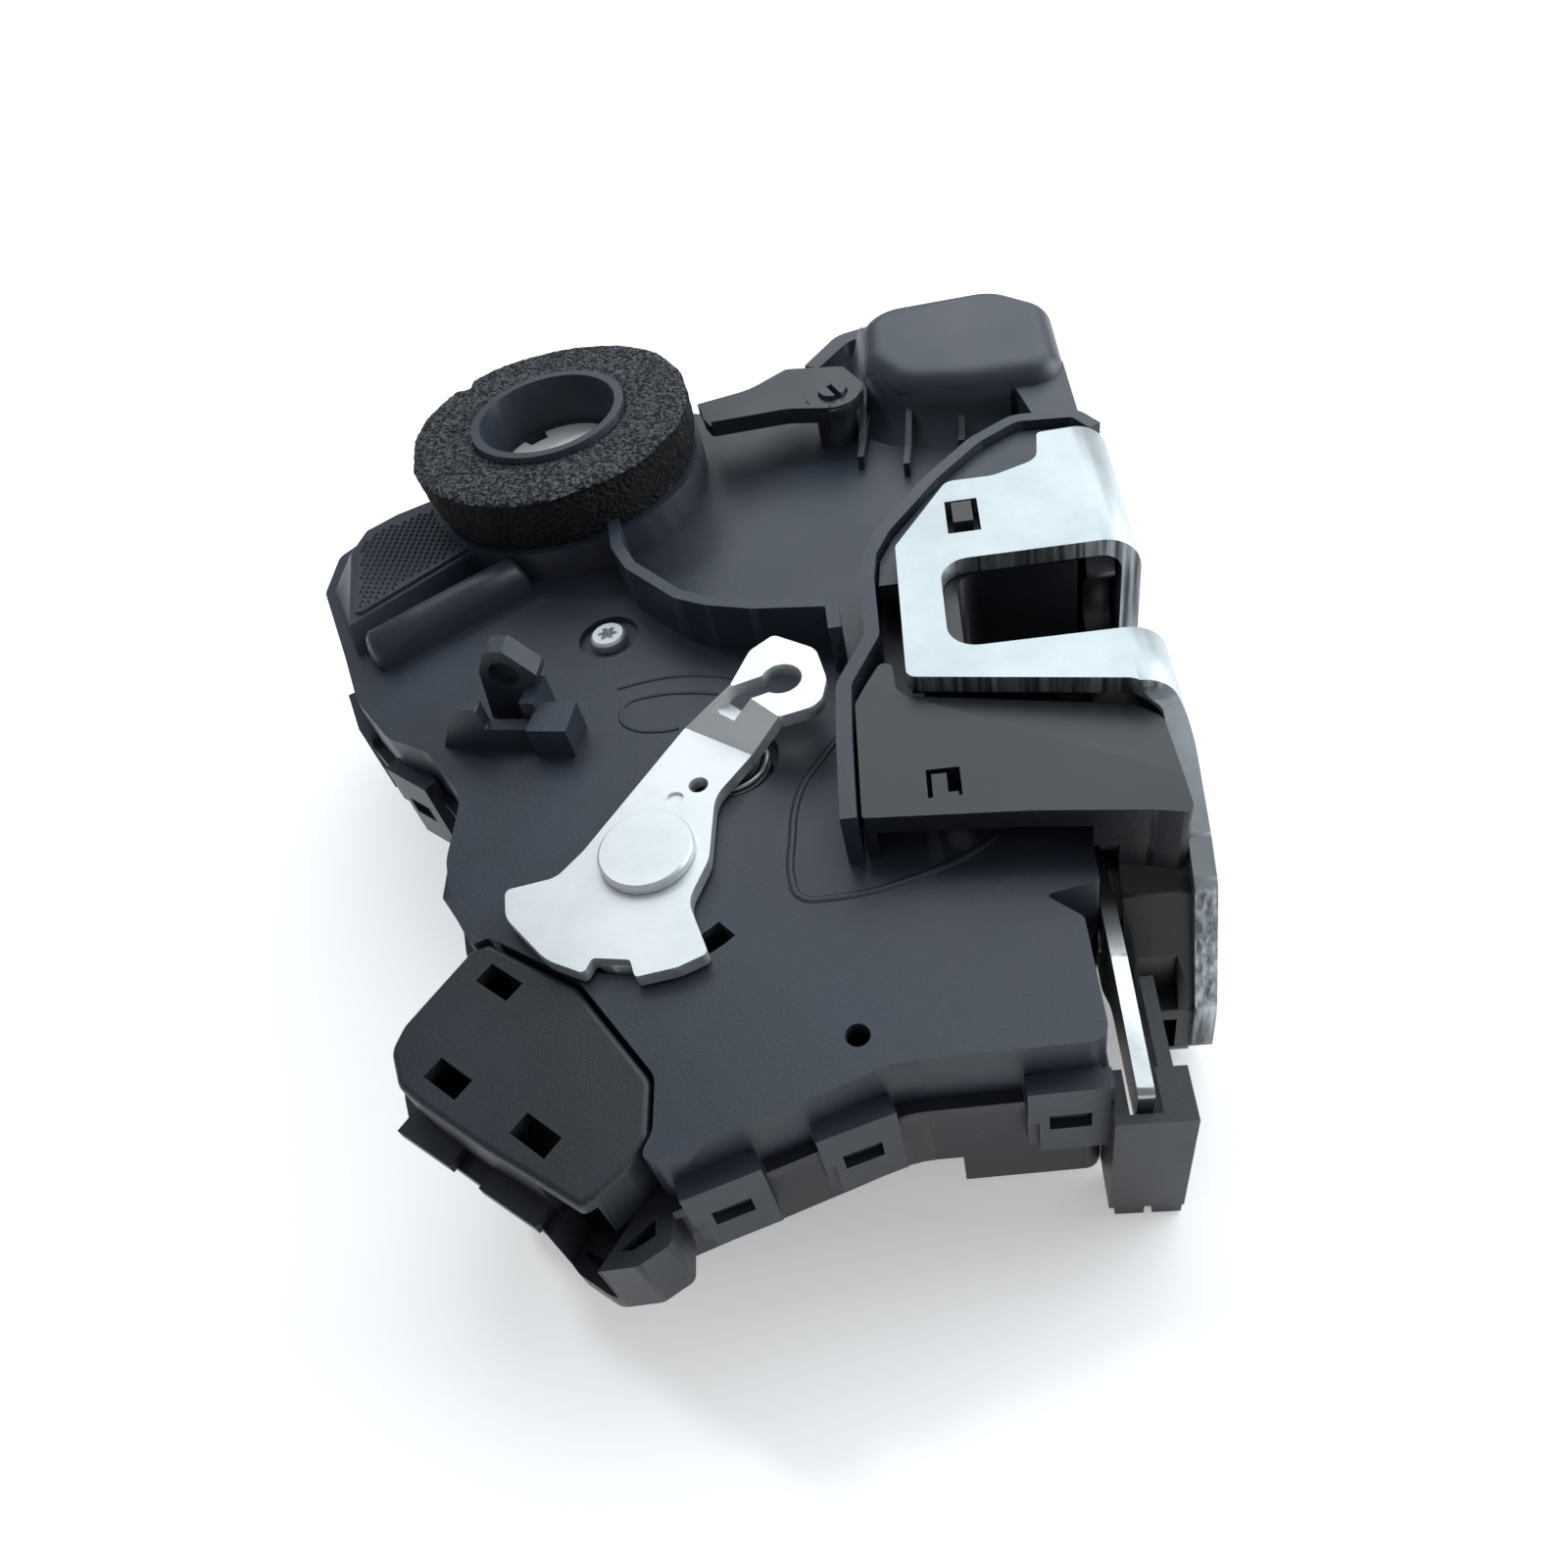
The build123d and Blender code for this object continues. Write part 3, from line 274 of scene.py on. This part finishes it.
def bead(name, points, width):
    """Low half-round bead laid on the broad face along a smooth path."""
    line = bpy.data.curves.new(name, "CURVE")
    line.dimensions = "3D"
    line.bevel_depth = width * MM / 2
    line.bevel_resolution = 2
    path = line.splines.new("BEZIER")
    path.bezier_points.add(len(points) - 1)
    for spot, (x, y) in zip(path.bezier_points, points):
        spot.co = (x * MM, y * MM, (BEAD_HIGH - width / 2) * MM)
        spot.handle_left_type = spot.handle_right_type = "AUTO"
    thing = bpy.data.objects.new(name, line)
    line.materials.append(housing_skin)
    bpy.context.scene.collection.objects.link(thing)
    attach(thing, "housing")


bead("long_bead", [(-74.8, 1.9), (-70.5, 2.8), (-65.0, 3.0), (-57.0, 1.0), (-54.0, -0.4)], 0.7)
bead("pocket_rim", [(-57.2, -2.4), (-63.5, -0.8), (-69.6, -0.5), (-73.2, -1.7), (-73.8, -3.6),
                    (-72.4, -6.2), (-67.5, -7.8), (-65.0, -7.6)], 0.6)
bead("pad_rim", [(-42.5, -12.1), (-45.2, -16.3), (-47.5, -20.2), (-48.6, -24.4), (-48.9, -29.0),
                 (-48.9, -35.4), (-47.8, -38.1), (-44.4, -38.7), (-33.5, -36.6), (-26.5, -33.4),
                 (-24.0, -31.4)], 1.5)

# Back cover and cable cover: the same black nylon from other tools, a little duller.  Both are
# held by moulded clips, and the back cover by the screw through the housing as well.
cover_skin = plastic("cover skin", (0.011, 0.014, 0.020, 1), (0.018, 0.022, 0.030, 1), 0.46)
coat("back_cover", cover_skin, 0.3)
coat("cable_cover", cover_skin, 0.4)

# Strip guide: a block with a slotted pocket, a thin side plate and two feet, moulded on the
# front right corner of the back cover.  The end of the release strip swings in the pocket.
guide = bmesh.new()


def brick(mesh, x0, x1, y0, y1, z0, z1):
    """Square-edged block between two corners, in millimetres."""
    grown = bmesh.ops.create_cube(mesh, size=1.0)["verts"]
    for corner in grown:
        corner.co = Vector(((x0 + x1) / 2 + corner.co.x * (x1 - x0),
                            (y0 + y1) / 2 + corner.co.y * (y1 - y0),
                            (z0 + z1) / 2 + corner.co.z * (z1 - z0))) * MM


brick(guide, -15.5, -6.8, -65.0, -58.6, -31.4, -22.0)
brick(guide, -15.5, -13.8, -65.0, -58.6, -22.0, -9.0)
brick(guide, -10.3, -6.8, -65.0, -58.6, -22.0, -9.0)
brick(guide, -13.8, -10.3, -65.0, -63.9, -22.0, -9.0)
brick(guide, -9.9, -8.3, -58.6, -53.5, -30.0, -9.0)
brick(guide, -9.9, -8.3, -53.5, -49.5, -30.0, -24.0)
brick(guide, -9.9, -8.3, -53.5, -49.5, -15.0, -9.0)
brick(guide, -9.9, -8.3, -49.5, -47.2, -30.0, -9.0)
brick(guide, -14.6, -11.2, -64.4, -59.0, -34.9, -31.4)
brick(guide, -10.2, -6.8, -64.4, -59.0, -34.9, -31.4)
piece("strip_guide", guide, cover_skin)

# Latch case, latch cover and lock switch: smoother black nylon with a slight shine, moulded
# to close limits because the claw and pawl turn between its walls.
case_skin = plastic("case skin", (0.009, 0.011, 0.015, 1), (0.015, 0.018, 0.024, 1), 0.36,
                    grain=0.2)
coat("latch_case", case_skin, 0.3)
coat("latch_cover", case_skin, 0.4)
coat("lock_switch", case_skin)

# Link arm and lock lever: dark acetal levers, moulded flat.  The arm turns on a slotted stud
# of the housing and the lock lever on a steel pin inside.
lever_skin = plastic("lever skin", (0.014, 0.018, 0.025, 1), (0.024, 0.028, 0.038, 1), 0.40)
coat("link_arm", lever_skin, 0.3)
coat("lock_lever", lever_skin)

# Foam gasket: a ring die-cut from open-cell foam, pressed over the key tube and glued to the
# boss.  Its sides bulge and its edge is torn in places.
FOAM_INNER, FOAM_LOW, FOAM_TOP = 13.05, 22.2, 23.7
FOAM_Z0, FOAM_Z1 = 5.3, 15.0
TUBE_X, TUBE_Y = -88.1, 53.4
AROUND, UP, ACROSS = 300, 18, 16
NICK_AT, NICK_WIDE, NICK_DEEP = math.radians(139), 0.05, 1.5


def foam_profile():
    """Half section of the ring, from its lower inner edge out, up and back in."""
    rows = []
    for i in range(ACROSS):
        rows.append((FOAM_INNER + (FOAM_LOW - FOAM_INNER) * i / ACROSS, FOAM_Z0, 0.0))
    for i in range(UP):
        t = i / UP
        bulge = 0.35 * math.sin(math.pi * t)
        rows.append((FOAM_LOW + (FOAM_TOP - FOAM_LOW) * t + bulge, FOAM_Z0 + 9.7 * t, t))
    for i in range(ACROSS + 1):
        t = i / ACROSS
        droop = 0.55 * (1 - min(1, t * 7)) ** 2 + 0.2 * max(0, t * 6 - 5)
        rows.append((FOAM_TOP + (FOAM_INNER - FOAM_TOP) * t, FOAM_Z1 - droop, 1.0))
    for i in range(1, UP):
        rows.append((FOAM_INNER, FOAM_Z1 + (FOAM_Z0 - FOAM_Z1) * i / UP, 0.0))
    return rows


ring = bmesh.new()
loops = []
for n in range(AROUND):
    angle = 2 * math.pi * n / AROUND
    loop = []
    for r, z, free in foam_profile():
        lump = noise.noise((math.cos(angle) * 2.1, math.sin(angle) * 2.1, z * 0.09))
        torn = noise.noise((math.cos(angle) * 7, math.sin(angle) * 7, z * 0.3 + 5))
        pores = noise.noise((r * math.cos(angle) * 1.3, r * math.sin(angle) * 1.3, z * 1.3))
        nick = NICK_DEEP * math.exp(-((angle - NICK_AT) / NICK_WIDE) ** 2)
        edge = max(0.0, (r - FOAM_INNER) / (FOAM_TOP - FOAM_INNER)) * (1 if free else 0)
        grow = edge * (0.55 * lump + 0.28 * torn - nick) + (0.16 * pores if free else 0)
        x, y = TUBE_X + (r + grow) * math.cos(angle), TUBE_Y + (r + grow) * math.sin(angle)
        high = z + (0.14 * pores if free == 1.0 else 0)
        loop.append(ring.verts.new((x * MM, y * MM, high * MM)))
    loops.append(loop)
for loop, other in zip(loops, loops[1:] + loops[:1]):
    for i in range(len(loop)):
        j = (i + 1) % len(loop)
        ring.faces.new((loop[i], other[i], other[j], loop[j]))
bmesh.ops.recalc_face_normals(ring, faces=ring.faces)

foam = bpy.data.materials.new("open-cell foam")
foam.use_nodes = True
nodes, links = foam.node_tree.nodes, foam.node_tree.links
shader = nodes["Principled BSDF"]
shader.inputs["Roughness"].default_value = 0.88
shader.inputs["Specular IOR Level"].default_value = 0.35
where = nodes.new("ShaderNodeTexCoord")
cells = nodes.new("ShaderNodeTexVoronoi")
cells.inputs["Scale"].default_value = 1300
links.new(where.outputs["Object"], cells.inputs["Vector"])
speck = nodes.new("ShaderNodeTexNoise")
speck.inputs["Scale"].default_value = 1900
speck.inputs["Detail"].default_value = 4
links.new(where.outputs["Object"], speck.inputs["Vector"])
tone = nodes.new("ShaderNodeValToRGB")
tone.color_ramp.elements[0].position = 0.42
tone.color_ramp.elements[0].color = (0.004, 0.0045, 0.006, 1)
tone.color_ramp.elements[1].position = 0.66
tone.color_ramp.elements[1].color = (0.115, 0.120, 0.135, 1)
links.new(speck.outputs["Fac"], tone.inputs["Fac"])
# Painted shade: the foam's base colour is scaled by how far each face turns upward. The sides
# and underside are painted darker, down to 0.22 of the top.
lie = nodes.new("ShaderNodeNewGeometry")
part = nodes.new("ShaderNodeSeparateXYZ")
links.new(lie.outputs["True Normal"], part.inputs["Vector"])
side_shade_range = nodes.new("ShaderNodeMapRange")
side_shade_range.inputs["From Min"].default_value = 0.2
side_shade_range.inputs["From Max"].default_value = 0.8
side_shade_range.inputs["To Min"].default_value = 0.22
links.new(part.outputs["Z"], side_shade_range.inputs["Value"])
painted_side_shade = nodes.new("ShaderNodeVectorMath")
painted_side_shade.operation = "SCALE"
links.new(tone.outputs["Color"], painted_side_shade.inputs[0])
links.new(side_shade_range.outputs["Result"], painted_side_shade.inputs["Scale"])
links.new(painted_side_shade.outputs["Vector"], shader.inputs["Base Color"])
relief = nodes.new("ShaderNodeMath")
relief.operation = "ADD"
links.new(cells.outputs["Distance"], relief.inputs[0])
links.new(speck.outputs["Fac"], relief.inputs[1])
bump = nodes.new("ShaderNodeBump")
bump.inputs["Strength"].default_value = 0.9
bump.inputs["Distance"].default_value = 0.0005
links.new(relief.outputs["Value"], bump.inputs["Height"])
links.new(bump.outputs["Normal"], shader.inputs["Normal"])
foam_ring = smooth(piece("foam_ring", ring, foam))
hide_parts("foam_gasket")


# Face plate and cable lever: pressed steel, bright zinc plated after pressing.  The flats
# carry faint cloudy passivation and fine rolling lines; the sheared edges are drawn.
def zinc(name, dark, pale, roughness, shear=False):
    """Zinc plate: cloudy tone and gloss, with drawn lines on upright sheared edges."""
    mat = bpy.data.materials.new(name)
    mat.use_nodes = True
    nodes, links = mat.node_tree.nodes, mat.node_tree.links
    shader = nodes["Principled BSDF"]
    shader.inputs["Metallic"].default_value = 0.85
    where = nodes.new("ShaderNodeTexCoord")
    cloud = nodes.new("ShaderNodeTexNoise")
    cloud.inputs["Scale"].default_value = 75
    cloud.inputs["Detail"].default_value = 7
    cloud.inputs["Roughness"].default_value = 0.6
    links.new(where.outputs["Object"], cloud.inputs["Vector"])
    tone = nodes.new("ShaderNodeValToRGB")
    tone.color_ramp.elements[0].position = 0.32
    tone.color_ramp.elements[0].color = dark
    tone.color_ramp.elements[1].position = 0.62
    tone.color_ramp.elements[1].color = pale
    links.new(cloud.outputs["Fac"], tone.inputs["Fac"])
    colour = tone.outputs["Color"]
    gloss = nodes.new("ShaderNodeMapRange")
    gloss.inputs["To Min"].default_value = roughness - 0.06
    gloss.inputs["To Max"].default_value = roughness + 0.1
    links.new(cloud.outputs["Fac"], gloss.inputs["Value"])
    links.new(gloss.outputs["Result"], shader.inputs["Roughness"])
    lines = nodes.new("ShaderNodeTexNoise")
    lines.inputs["Scale"].default_value = 900
    lines.inputs["Detail"].default_value = 3
    stretch = nodes.new("ShaderNodeMapping")
    stretch.inputs["Scale"].default_value = (1.6, 1.6, 0.06) if shear else (0.25, 1.5, 1.0)
    links.new(where.outputs["Object"], stretch.inputs["Vector"])
    links.new(stretch.outputs["Vector"], lines.inputs["Vector"])
    if shear:
        lie = nodes.new("ShaderNodeNewGeometry")
        part = nodes.new("ShaderNodeSeparateXYZ")
        links.new(lie.outputs["Normal"], part.inputs["Vector"])
        flat = nodes.new("ShaderNodeMath")
        flat.operation = "ABSOLUTE"
        links.new(part.outputs["Z"], flat.inputs[0])
        flat_x = nodes.new("ShaderNodeMath")
        flat_x.operation = "ABSOLUTE"
        links.new(part.outputs["X"], flat_x.inputs[0])
        most = nodes.new("ShaderNodeMath")
        most.operation = "MAXIMUM"
        links.new(flat.outputs["Value"], most.inputs[0])
        links.new(flat_x.outputs["Value"], most.inputs[1])
        edge = nodes.new("ShaderNodeMapRange")
        edge.inputs["From Min"].default_value = 0.65
        edge.inputs["From Max"].default_value = 0.35
        links.new(most.outputs["Value"], edge.inputs["Value"])
        drawn = nodes.new("ShaderNodeValToRGB")
        drawn.color_ramp.elements[0].position = 0.36
        drawn.color_ramp.elements[0].color = (0.09, 0.10, 0.11, 1)
        drawn.color_ramp.elements[1].position = 0.68
        drawn.color_ramp.elements[1].color = (0.55, 0.58, 0.61, 1)
        links.new(lines.outputs["Fac"], drawn.inputs["Fac"])
        blend = nodes.new("ShaderNodeMix")
        blend.data_type = "RGBA"
        links.new(edge.outputs["Result"], blend.inputs["Factor"])
        links.new(tone.outputs["Color"], blend.inputs["A"])
        links.new(drawn.outputs["Color"], blend.inputs["B"])
        colour = blend.outputs["Result"]
    links.new(colour, shader.inputs["Base Color"])
    bump = nodes.new("ShaderNodeBump")
    bump.inputs["Strength"].default_value = 0.12
    bump.inputs["Distance"].default_value = 0.0001
    links.new(lines.outputs["Fac"], bump.inputs["Height"])
    links.new(bump.outputs["Normal"], shader.inputs["Normal"])
    return mat


plate_zinc = zinc("plate zinc", (0.40, 0.44, 0.46, 1), (0.52, 0.56, 0.58, 1), 0.42, shear=True)
coat("face_plate", plate_zinc, 0.3)
lever_zinc = zinc("lever zinc", (0.70, 0.73, 0.74, 1), (0.84, 0.86, 0.87, 1), 0.48)
coat("cable_lever", lever_zinc, 0.2)

# Rivets, pins, the release strip and the housing screw: turned or drawn steel with a thin
# zinc plate, a little greyer than the pressings.
turned = zinc("turned steel", (0.68, 0.71, 0.73, 1), (0.84, 0.86, 0.88, 1), 0.46)
for pin in ("lever_rivet", "claw_pin", "pawl_pin", "release_pin", "wheel_axle", "lock_pin",
            "motor_shaft"):
    coat(pin, turned, 0.15 if pin == "lever_rivet" else 0)
coat("release_lever", zinc("strip steel", (0.40, 0.42, 0.43, 1), (0.72, 0.74, 0.75, 1), 0.28),
     0.15)
coat("housing_screw", turned, 0.1)

# Claw and pawl: fine-blanked steel, hardened and phosphated dark grey, so that the striker
# meets an oily matt face.
dark_steel = zinc("phosphated steel", (0.05, 0.05, 0.055, 1), (0.11, 0.11, 0.12, 1), 0.42)
coat("claw", dark_steel, 0.3)
coat("pawl", dark_steel)

# Springs: bright music wire, oiled.  The lever's coil lies in a shallow well of the housing,
# mostly hidden by the lever; the claw's and the pawl's sit round their pins.
spring_wire = zinc("music wire", (0.30, 0.31, 0.32, 1), (0.52, 0.53, 0.55, 1), 0.3)
coat("lever_spring", spring_wire)
coat("claw_spring", spring_wire)
coat("pawl_spring", spring_wire)

# Key cam, worm and worm wheel: natural nylon and acetal, moulded white with a waxy shine and
# run dry.
cam_white = plastic("natural nylon", (0.72, 0.73, 0.73, 1), (0.84, 0.85, 0.85, 1), 0.4,
                    grain=0.1)
coat("key_cam", cam_white, 0.2)
coat("worm_gear", cam_white)
coat("worm_wheel", cam_white)

# Lock motor, terminals and bumper: a drawn steel can, stamped and tinned pins, and a rubber
# block that the striker lands on.
coat("lock_motor", zinc("motor can", (0.45, 0.46, 0.47, 1), (0.62, 0.63, 0.64, 1), 0.35))
coat("connector_terminals", zinc("tinned", (0.5, 0.49, 0.46, 1), (0.66, 0.65, 0.61, 1), 0.35))
coat("striker_bumper", plastic("bumper rubber", (0.012, 0.012, 0.012, 1),
                               (0.02, 0.02, 0.02, 1), 0.7))

# Studio: a pale floor under the feet, a white surround and a large soft box, with a smaller
# lamp that draws the shadow to the lower right.
FLOOR_Z, FLOOR_HALF = -0.0351, 6.0
floor_mesh = bmesh.new()
bmesh.ops.create_grid(floor_mesh, x_segments=1, y_segments=1, size=FLOOR_HALF)
floor_data = bpy.data.meshes.new("floor")
floor_mesh.to_mesh(floor_data)
floor_mesh.free()
floor = bpy.data.objects.new("floor", floor_data)
floor.location = (0, 0, FLOOR_Z)
bpy.context.scene.collection.objects.link(floor)
paper = bpy.data.materials.new("floor paper")
paper.use_nodes = True
nodes, links = paper.node_tree.nodes, paper.node_tree.links
shader = nodes["Principled BSDF"]
shader.inputs["Base Color"].default_value = (0.9, 0.9, 0.9, 1)
shader.inputs["Roughness"].default_value = 0.9
shader.inputs["Specular IOR Level"].default_value = 0.1
shader.inputs["Emission Color"].default_value = (1, 1, 1, 1)
rays = nodes.new("ShaderNodeLightPath")
seen = nodes.new("ShaderNodeMath")
seen.operation = "MAXIMUM"
links.new(rays.outputs["Is Camera Ray"], seen.inputs[0])
links.new(rays.outputs["Is Glossy Ray"], seen.inputs[1])
lift = nodes.new("ShaderNodeMath")
lift.operation = "MULTIPLY"
lift.inputs[1].default_value = 0.36
links.new(seen.outputs["Value"], lift.inputs[0])
links.new(lift.outputs["Value"], shader.inputs["Emission Strength"])
floor_data.materials.append(paper)

world = bpy.data.worlds.new("studio")
bpy.context.scene.world = world
world.use_nodes = True
nodes, links = world.node_tree.nodes, world.node_tree.links
sky = nodes["Background"]
sky.inputs["Color"].default_value = (0.93, 0.96, 1.0, 1)
rays = nodes.new("ShaderNodeLightPath")
level = nodes.new("ShaderNodeMapRange")
level.inputs["To Min"].default_value = 0.30
level.inputs["To Max"].default_value = 1.0
links.new(rays.outputs["Is Camera Ray"], level.inputs["Value"])
links.new(level.outputs["Result"], sky.inputs["Strength"])


def lamp(name, place, aim, size, power, mirrored=True):
    """Soft lamp, a little cool, aimed at a point of the object."""
    light = bpy.data.lights.new(name, "AREA")
    light.shape = "DISK"
    light.size = size
    light.energy = power
    light.color = (0.90, 0.97, 1.0)
    thing = bpy.data.objects.new(name, light)
    thing.location = place
    thing.rotation_euler = (Vector(aim) - Vector(place)).to_track_quat("-Z", "Y").to_euler()
    thing.visible_glossy = mirrored
    bpy.context.scene.collection.objects.link(thing)


lamp("soft box", (0.16, 0.66, 0.74), (-0.04, 0.0, 0.0), 1.25, 7.6)
lamp("shadow lamp", (-0.62, 0.42, 0.85), (-0.06, 0.0, -0.02), 0.16, 3.4, mirrored=False)
lamp("right lamp", (0.65, 0.16, 0.26), (-0.03, 0.0, 0.0), 0.6, 4.2)

# Camera: a 27 mm lens on a 36 mm frame, close above the housing and a little to one side,
# rolled as the part lies.
lens = bpy.data.cameras.new("camera")
lens.lens = 27.0
lens.sensor_width = 36.0
lens.sensor_fit = "HORIZONTAL"
lens.clip_start = 0.005
camera = bpy.data.objects.new("camera", lens)
RIGHT = Vector((0.98484, 0.01365, -0.17291))
UP_WAY = Vector((0.10451, 0.74887, 0.65442))
BACK = RIGHT.cross(UP_WAY)
camera.matrix_world = Matrix(((RIGHT.x, UP_WAY.x, BACK.x, -0.0290),
                              (RIGHT.y, UP_WAY.y, BACK.y, -0.1207),
                              (RIGHT.z, UP_WAY.z, BACK.z, 0.1120),
                              (0, 0, 0, 1)))
bpy.context.scene.collection.objects.link(camera)
bpy.context.scene.camera = camera
bpy.context.scene.view_settings.view_transform = "Standard"
